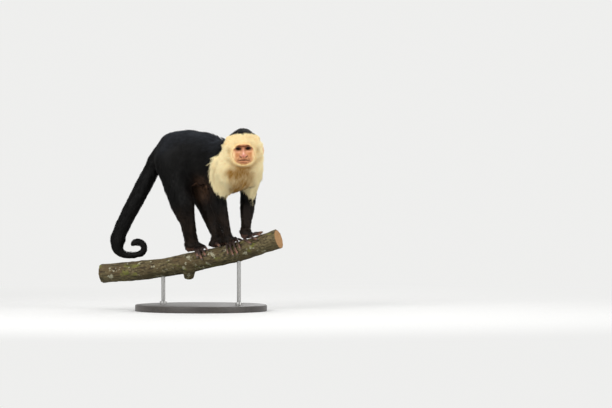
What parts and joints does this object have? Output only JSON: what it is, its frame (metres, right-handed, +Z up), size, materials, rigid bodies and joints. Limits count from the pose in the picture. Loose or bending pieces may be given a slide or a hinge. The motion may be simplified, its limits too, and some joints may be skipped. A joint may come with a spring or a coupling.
{
  "type": "capuchin monkey model",
  "caption": "Life-size still model of a white-faced capuchin monkey standing on all fours on a cut branch, with its tail curled, on a plain round display stand.",
  "frame": {"origin": "centre of the stand's underside, on the floor", "axes": "+Z up, +X along the branch towards the hands, -Y the side that the face looks to"},
  "size_m": [0.4657, 0.3345, 0.4596],
  "materials": {
    "black_coat": "short dense black fur",
    "cream_coat": "soft cream fur",
    "hand_skin": "dark creased skin with short hair",
    "eye": "wet dark brown",
    "ear_skin": "bare pink-tan skin",
    "face_skin": "bare pink-tan skin",
    "nail": "dark satin nail",
    "bark": "rough bark with pale lichen",
    "stand_base": "dark satin paint",
    "stand_rod": "brushed"
  },
  "bodies": {
    "root": {"tail_root": "black_coat", "tail_upper": "black_coat", "tail_lower": "black_coat", "tail_curl": "black_coat", "tail_tip": "black_coat", "right_foot": "hand_skin", "right_foot_toe_1": "hand_skin", "right_foot_toe_2": "hand_skin", "right_foot_toe_3": "hand_skin", "right_foot_toe_4": "hand_skin", "right_foot_toe_5": "hand_skin", "right_shank": "black_coat", "right_thigh": "black_coat", "left_foot": "hand_skin", "left_foot_toe_1": "hand_skin", "left_foot_toe_2": "hand_skin", "left_foot_toe_3": "hand_skin", "left_foot_toe_4": "hand_skin", "left_foot_toe_5": "hand_skin", "left_shank": "black_coat", "left_thigh": "black_coat", "right_hand": "hand_skin", "right_hand_finger_1": "hand_skin", "right_hand_finger_2": "hand_skin", "right_hand_finger_3": "hand_skin", "right_hand_finger_4": "hand_skin", "right_hand_finger_5": "hand_skin", "right_forearm": "black_coat", "right_upper_arm": "cream_coat", "left_hand": "hand_skin", "left_hand_finger_1": "hand_skin", "left_hand_finger_2": "hand_skin", "left_hand_finger_3": "hand_skin", "left_hand_finger_4": "hand_skin", "left_hand_finger_5": "hand_skin", "left_forearm": "black_coat", "left_upper_arm": "cream_coat", "crown_cap": "black_coat", "face": "cream_coat", "head": "cream_coat", "neck": "cream_coat", "chest": "cream_coat", "belly": "black_coat", "pelvis": "black_coat", "right_eye": "eye", "right_ear": "ear_skin", "left_eye": "eye", "left_ear": "ear_skin", "perch_branch": "bark", "stand_base": "stand_base", "stand_rod_1": "stand_rod", "stand_rod_2": "stand_rod"}
  },
  "joints": []
}
